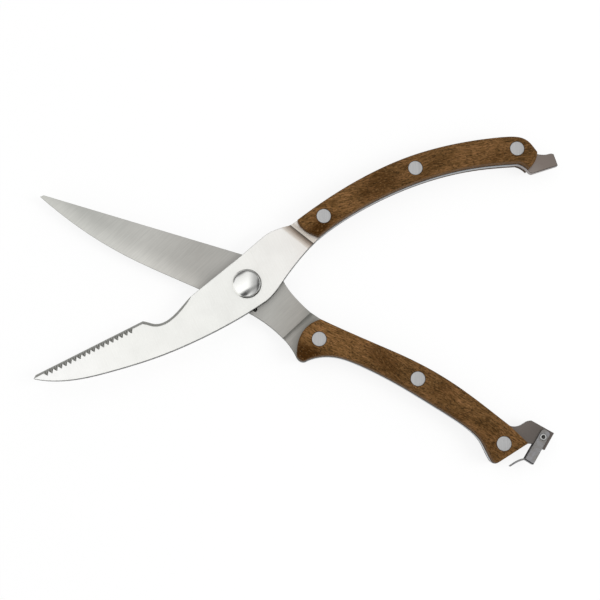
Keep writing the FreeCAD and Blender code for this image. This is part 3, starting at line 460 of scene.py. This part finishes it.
def rivetSteel(name, look):
    # cutlery rivet, sanded level with the wood: satin face, with a painted highlight on its rim
    material, tree, shader = newMaterial(name)
    coords = addNode(tree, "TexCoord")
    perMetre = 1000 / look["lineSpacing"]
    lengthwise = perMetre / look["lineLength"]
    stretched = addNode(tree, "VectorMath", {0: coords.outputs["Object"], 1: (perMetre, lengthwise, lengthwise)},
                        operation="MULTIPLY")
    lines = addNode(tree, "TexNoise", {"Vector": stretched.outputs[0], "Scale": 1.0, "Detail": 2.0})
    tone = addNode(tree, "MapRange", {"Value": lines.outputs[0], **noiseSpread,
                                      "To Min": look["lineTones"][0], "To Max": look["lineTones"][1]})
    level = levelness(tree)
    # the rim's painted highlight
    rimMask = addNode(tree, "ValToRGB", {0: level}, stops=look["rimFacing"])
    base = addNode(tree, "Mix", {0: rimMask.outputs[0], 6: linearColour(look["colour"]), 7: linearColour(look["rim"])},
                   data_type="RGBA")
    toned = addNode(tree, "VectorMath", {0: base.outputs[2], 3: tone.outputs[0]}, operation="SCALE")
    tree.links.new(toned.outputs[0], shader.inputs["Base Color"])
    shader.inputs["Roughness"].default_value = look["roughness"]
    shader.inputs["Metallic"].default_value = look["metallic"]
    return material


def turnedPiece(name, profile, centre, material, steps):
    # spins a profile of (radius, height) in millimetres round a vertical axis through centre
    crispFrom = math.radians(35)
    mesh = bmesh.new()
    corners = [mesh.verts.new((r / 1000, 0, z / 1000)) for r, z in profile]
    edges = [mesh.edges.new((corners[i], corners[i + 1])) for i in range(len(corners) - 1)]
    bmesh.ops.spin(mesh, geom=corners + edges, cent=(0, 0, 0), axis=(0, 0, 1), angle=math.tau, steps=steps,
                   use_merge=True)
    bmesh.ops.remove_doubles(mesh, verts=mesh.verts, dist=1e-7)
    bmesh.ops.recalc_face_normals(mesh, faces=mesh.faces)
    bmesh.ops.translate(mesh, verts=mesh.verts, vec=centre)
    data = bpy.data.meshes.new(name)
    mesh.to_mesh(data)
    mesh.free()
    data.shade_smooth()
    data.set_sharp_from_angle(angle=crispFrom)
    data.materials.append(material)
    return newPiece(name, data)


# in mm: the head's radii and heights, and those of its rolled rim, then the barrel or shank below it
rivetShape = {"head": 3.2, "crownRadius": 1.4, "crown": 0.02, "crownEdge": 0.8, "rim": 0.4, "roll": 0.1,
              "rollDrop": 0.06, "rimDrop": 0.2, "proud": 0.02, "deep": 1.6, "barrel": 2.0, "shank": 1.5}
rivetMaterial = rivetSteel("satinRivetSteel", satinRivet)
seam = {"inner": 3.14, "outer": 3.42, "proud": 0.012, "deep": 0.25, "innerRoll": 0.1, "outerRoll": 0.08,
        "rollDrop": 0.02}
seamShadeLook = {"tones": [(0.35, "#1d1206"), (0.65, "#33200d")], "grain": 1500.0, "roughness": 0.4}
seamShadeMaterial, tree, shader = newMaterial("darkSeamShade")  # round each head: a thin dark glossy line, the seam darkened with painted shade
seamShadeCoords = addNode(tree, "TexCoord")
seamShadeNoise = addNode(tree, "TexNoise", {"Vector": seamShadeCoords.outputs["Object"], "Scale": seamShadeLook["grain"],
                                       "Detail": 1.0})
seamShadeTone = addNode(tree, "ValToRGB", {0: seamShadeNoise.outputs[0]}, stops=seamShadeLook["tones"])
tree.links.new(seamShadeTone.outputs[0], shader.inputs["Base Color"])
shader.inputs["Roughness"].default_value = seamShadeLook["roughness"]
for half in ("serrated", "plain"):
    for number in (1, 2, 3):
        for part, side in (("sleeve", 1), ("pin", -1)):
            node = f"{half}_rivet_{part}_{number}"
            low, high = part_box(node)
            face = high.z if side > 0 else low.z
            height = 1000 * (high.z - low.z)
            centre = Vector(((low.x + high.x) / 2, (low.y + high.y) / 2, face))
            head, top = rivetShape["head"], rivetShape["proud"]
            barrel = rivetShape["barrel"] if side > 0 else rivetShape["shank"]
            profile = [(0, top + rivetShape["crown"]),
                       (rivetShape["crownRadius"], top + rivetShape["crown"] * rivetShape["crownEdge"]),
                       (head - rivetShape["rim"], top), (head - rivetShape["roll"], top - rivetShape["rollDrop"]),
                       (head, top - rivetShape["rimDrop"]), (head, -rivetShape["deep"]),
                       (barrel, -rivetShape["deep"]), (barrel, -height), (0, -height)]
            piece = turnedPiece(f"cutleryRivet_{half}_{part}_{number}", [(r, side * z) for r, z in profile],
                                centre, rivetMaterial, steps=48)
            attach(piece, half + "_half")
            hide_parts(node)
            profile = [(seam["inner"], -seam["deep"]), (seam["inner"], 0),
                       (seam["inner"] + seam["innerRoll"], seam["proud"]),
                       (seam["outer"] - seam["outerRoll"], seam["proud"]), (seam["outer"], -seam["rollDrop"]),
                       (seam["outer"], -seam["deep"]), (seam["inner"], -seam["deep"])]
            # the thin dark line round each head, the seam with painted shade
            ring = turnedPiece(f"glueLine_{half}_{part}_{number}", [(r, side * z) for r, z in profile],
                               centre, seamShadeMaterial, steps=48)
            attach(ring, half + "_half")
print("rivets finished")

# radii in mm, then the shoulder's height from the pivot's middle
screwShape = {"head": 6.5, "dome": 13.0, "roll": 1.6, "foot": 0.18, "shank": 3.5, "thread": 3.0, "chamfer": 0.3,
              "shoulder": -3.1, "domeSteps": 14, "rollSteps": 10}
low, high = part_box("pivot_screw")
bladeTop = 1000 * (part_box("serrated_blade")[1].z - pivot.z)
screwTop = 1000 * (high.z - pivot.z)
threadEnd = 1000 * (low.z - pivot.z)
head, roll, domeRadius = screwShape["head"], screwShape["roll"], screwShape["dome"]
domeCentre = screwTop - domeRadius
rollCentre = domeCentre + math.sqrt((domeRadius - roll) ** 2 - (head - roll) ** 2)
meet = math.atan2(rollCentre - domeCentre, head - roll)
screwProfile = []
for step in range(screwShape["domeSteps"] + 1):
    turn = math.pi / 2 + (meet - math.pi / 2) * step / screwShape["domeSteps"]
    screwProfile.append((domeRadius * math.cos(turn), domeCentre + domeRadius * math.sin(turn)))
for step in range(1, screwShape["rollSteps"] + 1):
    turn = meet * (1 - step / screwShape["rollSteps"])
    screwProfile.append((head - roll + roll * math.cos(turn), rollCentre + roll * math.sin(turn)))
shank, thread, chamfer = screwShape["shank"], screwShape["thread"], screwShape["chamfer"]
screwProfile += [(head, bladeTop + screwShape["foot"]), (head - screwShape["foot"], bladeTop),
                 (shank, bladeTop), (shank, screwShape["shoulder"]), (thread, screwShape["shoulder"]),
                 (thread, threadEnd + chamfer), (thread - chamfer, threadEnd), (0, threadEnd)]
screwMaterial = turnedSteel("polishedStainlessScrew", polished)
screw = turnedPiece("domedPivotScrew", screwProfile, pivot, screwMaterial, steps=96)
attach(screw, "serrated_half")
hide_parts("pivot_screw")
brightMaterial = turnedSteel("turnedBrightSteel", plainBright)
paint(["pivot_nut", "pivot_washer", "stop_pin"], brightMaterial)
print("pivot finished")


# ---- opening spring: a coil that stays and two legs that follow their halves

spring = {  # mm from the pivot, and degrees round it from the serrated half's own length
    "radius": 6.3, "wire": 0.6, "rise": 1.6, "anchor": 11.7,
    "lowLeg": -158.4, "highLeg": 100.6,
    "anchorHole": -55,      # this one from the plain half's own length
    "coilSteps": 96, "roundness": 4,
    "staked": [(0, -0.5), (0.62, -0.55), (0.9, -0.8), (0.93, -1.2), (0.93, -2.7), (0.7, -3.0), (0, -3.0)],
}
drawnWire = {"colour": "#77777a", "roughness": 0.35, "rim": "#5c5c5f", "rimDark": 0.0, "rimClear": 0.5}
# the staked end: dark, as painted shade of the hole it sits in
shadedWireEnd = {"colour": "#393732", "roughness": 0.5, "rim": "#201f1b", "rimDark": 0.1, "rimClear": 0.9}


def wirePiece(name, points, body, material):
    curve = bpy.data.curves.new(name, "CURVE")
    curve.dimensions = "3D"
    line = curve.splines.new("POLY")
    line.points.add(len(points) - 1)
    for spot, point in zip(line.points, points):
        spot.co = (point.x, point.y, point.z, 1)
    curve.bevel_depth = spring["wire"] / 1000
    curve.bevel_resolution = spring["roundness"]
    curve.use_fill_caps = True
    holder = newPiece(name + "Curve", curve)
    data = bpy.data.meshes.new_from_object(holder)
    bpy.data.objects.remove(holder)
    data.name = name
    data.shade_smooth()
    data.materials.clear()
    data.materials.append(material)
    piece = newPiece(name, data)
    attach(piece, body)
    return piece


def roundPivot(radius, degrees, height):
    angle = math.radians(degrees + serratedTurn)
    return pivot + Vector((radius * math.cos(angle), radius * math.sin(angle), height)) / 1000


wireMaterial = turnedSteel("drawnSpringWire", drawnWire)
wound = 360 + (spring["lowLeg"] - spring["highLeg"]) % 360
coilPoints = []
for step in range(spring["coilSteps"] + 1):
    share = step / spring["coilSteps"]
    coilPoints.append(roundPivot(spring["radius"], spring["lowLeg"] - wound * share, spring["rise"] * (share - 0.5)))
coil = wirePiece("springCoil", coilPoints, "serrated_half", wireMaterial)
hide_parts("opening_spring")
swing = math.degrees(math.acos(spring["radius"] / spring["anchor"]))
for name, start, turn, side, body in (("springLegLower", spring["lowLeg"], swing, -1, "plain_half"),
                                      ("springLegUpper", spring["highLeg"], -swing, 1, "serrated_half")):
    height = side * spring["rise"] / 2
    wirePiece(name, [roundPivot(spring["radius"], start, height), roundPivot(spring["anchor"], start + turn, height)],
              body, wireMaterial)
# the lower leg's end is turned down into its hole and staked there; its dark colour is painted shade of the hole
anchorTurn = spring["anchorHole"] + plainTurn - serratedTurn
stakedEnd = turnedPiece("stakedSpringEnd", spring["staked"], roundPivot(spring["anchor"], anchorTurn, 0),
                        turnedSteel("shadedSpringEnd", shadedWireEnd), steps=32)
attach(stakedEnd, "plain_half")
print("spring finished")


# ---- latch

latchStrip = {
    "broken": 0.14, "steps": 2,     # mm that the sheared edges are broken
    "sheared": 30, "crispFrom": 24,     # degrees from which an edge is broken, and from which it stays crisp
    "hang": -211.0,                 # degrees that the latch hangs turned from upright
    # the thumb tab with the latch upright: its root in mm from the latch pin, its lean in degrees, its length
    "thumbRoot": (2.1, 12.05), "thumbTurn": 54.7, "thumbLong": 7.5, "sheet": 0.7,
    "sprung": 0.5, "thinned": 0.4,  # mm that the thumb tab bows up, and share of its thickness lost at the end
    "cuts": (0.1, 0.2, 0.32, 0.45, 0.6, 0.75, 0.88),    # shares of the tab's length at which it can bend
    "bowBias": 0.75,                # below 1 the bow is fullest near the root
}
stripSteel = {
    # the edge colour is a painted shade on the strip's sides
    "colour": "#9a999b", "edge": "#37373a", "edgeFacing": [(0.85, 1.0), (0.99, 0.0)],
    "stain": "#8e8b87", "stainScale": 420.0, "stainLevels": [(0.4, 0.0), (0.62, 1.0)],
    "lines": 59, "lineSpacing": 0.6, "lineLength": 12, "lineTones": (0.93, 1.06),
    "lineBump": 0.25, "lineDepth": 0.04,
    "roughness": 0.34, "metallic": 0.85,
}
# a head's radii and heights in mm; round: steps in from its edge and down from its lip
latchRivet = {"head": 1.6, "dimple": 0.8, "dimpleDrop": 0.1, "lip": 1.0, "deep": 1.05, "shank": 1.0,
              "headThick": 0.4, "round": [(0.28, 0.02), (0.08, 0.12), (0, 0.25)]}
# the dimple and the rounded edge of each head are painted dark as shade
peened = {"colour": "#d2d2d0", "roughness": 0.3, "rim": "#4a4947", "rimDark": 0.75, "rimClear": 0.94}


def rolledStrip(name, look):
    # bright cold-rolled strip, bent and tumbled: satin with faint rolling lines and stains, and dark edges, a painted
    # shade
    material, tree, shader = newMaterial(name)
    coords = addNode(tree, "TexCoord")
    perMetre = 1000 / look["lineSpacing"]
    lengthwise = perMetre / look["lineLength"]
    turned = addNode(tree, "Mapping", {"Vector": coords.outputs["Object"],
                                       "Rotation": (0, 0, math.radians(look["lines"]))}, vector_type="TEXTURE")
    stretched = addNode(tree, "VectorMath", {0: turned.outputs[0], 1: (lengthwise, perMetre, lengthwise)},
                        operation="MULTIPLY")
    lines = addNode(tree, "TexNoise", {"Vector": stretched.outputs[0], "Scale": 1.0, "Detail": 2.0})
    stains = addNode(tree, "TexNoise", {"Vector": coords.outputs["Object"], "Scale": look["stainScale"],
                                        "Detail": 2.0})
    stainMask = addNode(tree, "ValToRGB", {0: stains.outputs[0]}, stops=look["stainLevels"])
    flat = addNode(tree, "Mix", {0: stainMask.outputs[0], 6: linearColour(look["colour"]),
                                 7: linearColour(look["stain"])}, data_type="RGBA")
    lineTone = addNode(tree, "MapRange", {"Value": lines.outputs[0], **noiseSpread,
                                          "To Min": look["lineTones"][0], "To Max": look["lineTones"][1]})
    toned = addNode(tree, "VectorMath", {0: flat.outputs[2], 3: lineTone.outputs[0]}, operation="SCALE")
    level = levelness(tree)
    edgeMask = addNode(tree, "ValToRGB", {0: level}, stops=look["edgeFacing"])
    colour = addNode(tree, "Mix", {0: edgeMask.outputs[0], 6: toned.outputs[0], 7: linearColour(look["edge"])},
                     data_type="RGBA")
    bump = addNode(tree, "Bump", {"Height": lines.outputs[0], "Strength": look["lineBump"],
                                  "Distance": look["lineDepth"] / 1000})
    tree.links.new(colour.outputs[2], shader.inputs["Base Color"])
    tree.links.new(bump.outputs[0], shader.inputs["Normal"])
    shader.inputs["Roughness"].default_value = look["roughness"]
    shader.inputs["Metallic"].default_value = look["metallic"]
    return material


def mergedCopy(node):
    # a copy of a solid whose loose triangles are joined, with flat faces dissolved again
    flatWithin = math.radians(0.5)
    mesh = bmesh.new()
    mesh.from_mesh(nodes[node].data)
    bmesh.ops.transform(mesh, matrix=nodes[node].matrix_world, verts=mesh.verts)
    bmesh.ops.remove_doubles(mesh, verts=mesh.verts, dist=1e-6)
    bmesh.ops.dissolve_limit(mesh, angle_limit=flatWithin, verts=mesh.verts, edges=mesh.edges)
    bmesh.ops.recalc_face_normals(mesh, faces=mesh.faces)
    return mesh


def breakEdges(mesh, width, steps, sheared):
    edges = [edge for edge in mesh.edges if edge.is_manifold and edge.calc_face_angle() > math.radians(sheared)]
    bmesh.ops.bevel(mesh, geom=edges, affect="EDGES", offset=width / 1000, segments=steps, profile=0.5, material=-1,
                    clamp_overlap=True)


latchMesh = mergedCopy("latch")
breakEdges(latchMesh, latchStrip["broken"], latchStrip["steps"], latchStrip["sheared"])
hang = Matrix.Rotation(math.radians(latchStrip["hang"]), 3, "Z")
thumbLong = latchStrip["thumbLong"] / 1000
thumbRoot = latchPin + hang @ Vector((*latchStrip["thumbRoot"], 0)) / 1000
runs = math.radians(latchStrip["hang"] + latchStrip["thumbTurn"])
along, outward = Vector((math.cos(runs), math.sin(runs), 0)), Vector((-math.sin(runs), math.cos(runs), 0))
for share in latchStrip["cuts"]:
    bmesh.ops.bisect_plane(latchMesh, geom=latchMesh.verts[:] + latchMesh.edges[:] + latchMesh.faces[:], dist=1e-7,
                           plane_co=thumbRoot + along * share * thumbLong, plane_no=along)
for vert in latchMesh.verts:
    share = (vert.co - thumbRoot).dot(along) / thumbLong
    if share > 0:
        middle = (vert.co - thumbRoot).dot(outward) - latchStrip["sheet"] / 2000
        bow = latchStrip["sprung"] / 1000 * math.sin(math.pi * min(share, 1.0) ** latchStrip["bowBias"])
        vert.co -= outward * (bow + middle * latchStrip["thinned"] * min(share, 1.0))
latchData = bpy.data.meshes.new("bentLatchStrip")
latchMesh.to_mesh(latchData)
latchMesh.free()
latchData.shade_smooth()
latchData.set_sharp_from_angle(angle=math.radians(latchStrip["crispFrom"]))
latchData.materials.append(rolledStrip("rolledLatchStrip", stripSteel))
latchPiece = newPiece("bentLatchStrip", latchData)
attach(latchPiece, "latch")
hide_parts("latch")

low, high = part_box("latch_pin")
top = 500 * (high.z - low.z)
head, underHead = latchRivet["head"], top - latchRivet["headThick"]
oneEnd = [(0, top - latchRivet["deep"]), (latchRivet["dimple"], top - latchRivet["dimpleDrop"]),
          (latchRivet["lip"], top)]
oneEnd += [(head - inward, top - down) for inward, down in latchRivet["round"]]
oneEnd += [(head, underHead), (latchRivet["shank"], underHead)]
pin = turnedPiece("dimpledLatchRivet", oneEnd + [(r, -z) for r, z in reversed(oneEnd)],
                  Vector((latchPin.x, latchPin.y, (low.z + high.z) / 2)), turnedSteel("peenedRivetSteel", peened),
                  steps=40)
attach(pin, "plain_half")
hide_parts("latch_pin")
print("latch finished")


# ---- floor, light and camera

studio = {
    "floor": "#ffffff",
    "cameraTilt": 8,       # degrees from straight down
    "cameraTurn": -6,      # degrees that it stands round from the front
    "lens": 67,
    "distance": 0.5,
    "target": (0.0, 0.0, 0.004),
    "fill": 0.72,
    "wash": 0.84,          # share of plain white in the floor as the camera sees it
    "paperRough": 0.9,
    "floorSize": 3.0,
    "floorDrop": 0.00005,  # clear of the crowned rivets
    # lamps: place, size and power
    "lamps": {"softboxRight": ((0.75, -0.1, 0.75), 0.5, 4.2), "softboxLeft": ((-0.6, 0.45, 0.9), 0.9, 1.68)},
}
floorMesh = bmesh.new()
bmesh.ops.create_grid(floorMesh, x_segments=1, y_segments=1, size=studio["floorSize"])
bmesh.ops.translate(floorMesh, verts=floorMesh.verts, vec=(0, 0, -studio["floorDrop"]))
floorData = bpy.data.meshes.new("studioFloor")
floorMesh.to_mesh(floorData)
floorMesh.free()
floor = newPiece("studioFloor", floorData)
paper, tree, shader = newMaterial("whitePaper")
shader.inputs["Base Color"].default_value = linearColour(studio["floor"])
shader.inputs["Roughness"].default_value = studio["paperRough"]
# seen by the camera or mirrored, the paper is washed out towards white, which leaves a faint shadow
floorRays = addNode(tree, "LightPath")
seen = addNode(tree, "Math", {0: floorRays.outputs["Is Camera Ray"], 1: floorRays.outputs["Is Glossy Ray"]},
               operation="MAXIMUM")
seenAny = addNode(tree, "Math", {0: seen.outputs[0], 1: floorRays.outputs["Is Transmission Ray"]},
                  operation="MAXIMUM")
wash = addNode(tree, "Math", {0: seenAny.outputs[0], 1: studio["wash"]}, operation="MULTIPLY")
white = addNode(tree, "Emission", {"Color": (1, 1, 1, 1), "Strength": 1.0})
washed = addNode(tree, "MixShader", {0: wash.outputs[0], 1: shader.outputs[0], 2: white.outputs[0]})
output = [node for node in tree.nodes if node.bl_idname == "ShaderNodeOutputMaterial"][0]
tree.links.new(washed.outputs[0], output.inputs["Surface"])
floorData.materials.append(paper)

room = {  # each fade: where it starts and ends, and how strong it gets
    "boxAcross": (0.5, -0.866, 0.0),
    "boxStops": [(0.0, 0.14), (0.10, 0.12), (0.14, 0.75), (0.30, 0.89), (0.42, 1.0), (0.60, 1.0), (0.665, 0.06)],
    "lowBoxAcross": (0.64, -0.77, 0.0),
    "lowBox": (0.44, 0.6, 0.9),
    "gapFades": (-0.1, 0.55, 0.6),
    "falling": [(0.0, 1.08), (0.14, 0.98), (0.28, 0.72), (0.45, 0.5), (0.6, 0.42), (0.66, 0.12)],
    "walls": [(0.0, 0.1), (0.14, 0.14), (0.24, 0.3), (0.34, 0.2), (0.55, 0.14)],
    "panel": (-0.38, -0.6, 0.95),
    "panelTop": (0.3, 0.12, 1.0),
    "slit": [(0.2, 0.0), (0.28, 0.75), (0.42, 0.75), (0.5, 0.0)],
    "slitSide": (0.55, 0.7, 1.0),
    "overhead": (0.5, 0.6, 1.0),
}


def fading(tree, value, fade, curve="SMOOTHSTEP"):
    start, end, strength = fade
    return addNode(tree, "MapRange", {"Value": value, "From Min": start, "From Max": end, "To Max": strength},
                   interpolation_type=curve).outputs[0]


world = bpy.data.worlds.new("studio")
bpy.context.scene.world = world
world.use_nodes = True
tree = world.node_tree
tree.nodes.clear()
coords = addNode(tree, "TexCoord")
direction = addNode(tree, "SeparateXYZ", {0: coords.outputs["Generated"]})
# what the steel mirrors: a big softbox overhead on the left, a soft dark gap that fades to the right, a second
# box at the lower right, grey walls, one bright panel on the left and a narrow one on the right
across = addNode(tree, "VectorMath", {0: coords.outputs["Generated"], 1: room["boxAcross"]},
                 operation="DOT_PRODUCT")
acrossPart = addNode(tree, "MapRange", {"Value": across.outputs["Value"], "From Min": -1.0})
boxes = addNode(tree, "ValToRGB", {0: acrossPart.outputs[0]}, stops=room["boxStops"])
lowAcross = addNode(tree, "VectorMath", {0: coords.outputs["Generated"], 1: room["lowBoxAcross"]},
                    operation="DOT_PRODUCT")
lowBox = fading(tree, lowAcross.outputs["Value"], room["lowBox"])
bothBoxes = addNode(tree, "Math", {0: boxes.outputs[0], 1: lowBox}, operation="MAXIMUM")
gapFades = fading(tree, direction.outputs[0], room["gapFades"])
boxesFaded = addNode(tree, "Mix", {0: gapFades, 2: bothBoxes.outputs[0], 3: 1.0})
falling = addNode(tree, "ValToRGB", {0: direction.outputs[0]}, stops=room["falling"])
sky = addNode(tree, "Math", {0: boxesFaded.outputs[0], 1: falling.outputs[0]}, operation="MULTIPLY")
walls = addNode(tree, "ValToRGB", {0: direction.outputs[2]}, stops=room["walls"])
panel = fading(tree, direction.outputs[0], room["panel"])
panelLow = fading(tree, direction.outputs[1], room["panelTop"], "LINEAR")
panelHere = addNode(tree, "Math", {0: panel, 1: panelLow}, operation="MULTIPLY")
slit = addNode(tree, "ValToRGB", {0: direction.outputs[2]}, stops=room["slit"])
slitSide = fading(tree, direction.outputs[0], room["slitSide"], "LINEAR")
slitHere = addNode(tree, "Math", {0: slit.outputs[0], 1: slitSide}, operation="MULTIPLY")
panels = addNode(tree, "Math", {0: panelHere.outputs[0], 1: slitHere.outputs[0]}, operation="MAXIMUM")
wallsAndPanels = addNode(tree, "Math", {0: walls.outputs[0], 1: panels.outputs[0]}, operation="MAXIMUM")
overhead = fading(tree, direction.outputs[2], room["overhead"])
mirrored = addNode(tree, "Mix", {0: overhead, 2: wallsAndPanels.outputs[0], 3: sky.outputs[0]})
rays = addNode(tree, "LightPath")
shiny = addNode(tree, "Math", {0: rays.outputs["Is Glossy Ray"], 1: rays.outputs["Is Transmission Ray"]},
                operation="MAXIMUM")
plainLight = addNode(tree, "Mix", {0: shiny.outputs[0], 2: studio["fill"], 3: mirrored.outputs[0]})
level = addNode(tree, "Mix", {0: rays.outputs["Is Camera Ray"], 2: plainLight.outputs[0], 3: 1.0})
background = addNode(tree, "Background", {"Color": (1, 1, 1, 1), "Strength": level.outputs[0]})
addNode(tree, "OutputWorld", {"Surface": background.outputs[0]})

for name, (place, size, power) in studio["lamps"].items():
    light = bpy.data.lights.new(name, "AREA")
    light.shape = "SQUARE"
    light.size = size
    light.energy = power
    lamp = newPiece(name, light)
    lamp.visible_glossy = False  # the room above gives the metal its reflections
    lamp.location = place
    lamp.rotation_euler = (-Vector(place)).to_track_quat("-Z", "Y").to_euler()

cameraData = bpy.data.cameras.new("camera")
cameraData.lens = studio["lens"]
camera = newPiece("camera", cameraData)
tilt, turn = math.radians(studio["cameraTilt"]), math.radians(studio["cameraTurn"])
away = Vector((math.sin(turn) * math.sin(tilt), -math.cos(turn) * math.sin(tilt), math.cos(tilt)))
camera.location = Vector(studio["target"]) + studio["distance"] * away
camera.rotation_euler = (Matrix.Rotation(-turn, 3, away) @ away.to_track_quat("Z", "Y").to_matrix()).to_euler()
bpy.context.scene.camera = camera
bpy.context.scene.view_settings.view_transform = "Standard"
print("studio finished")
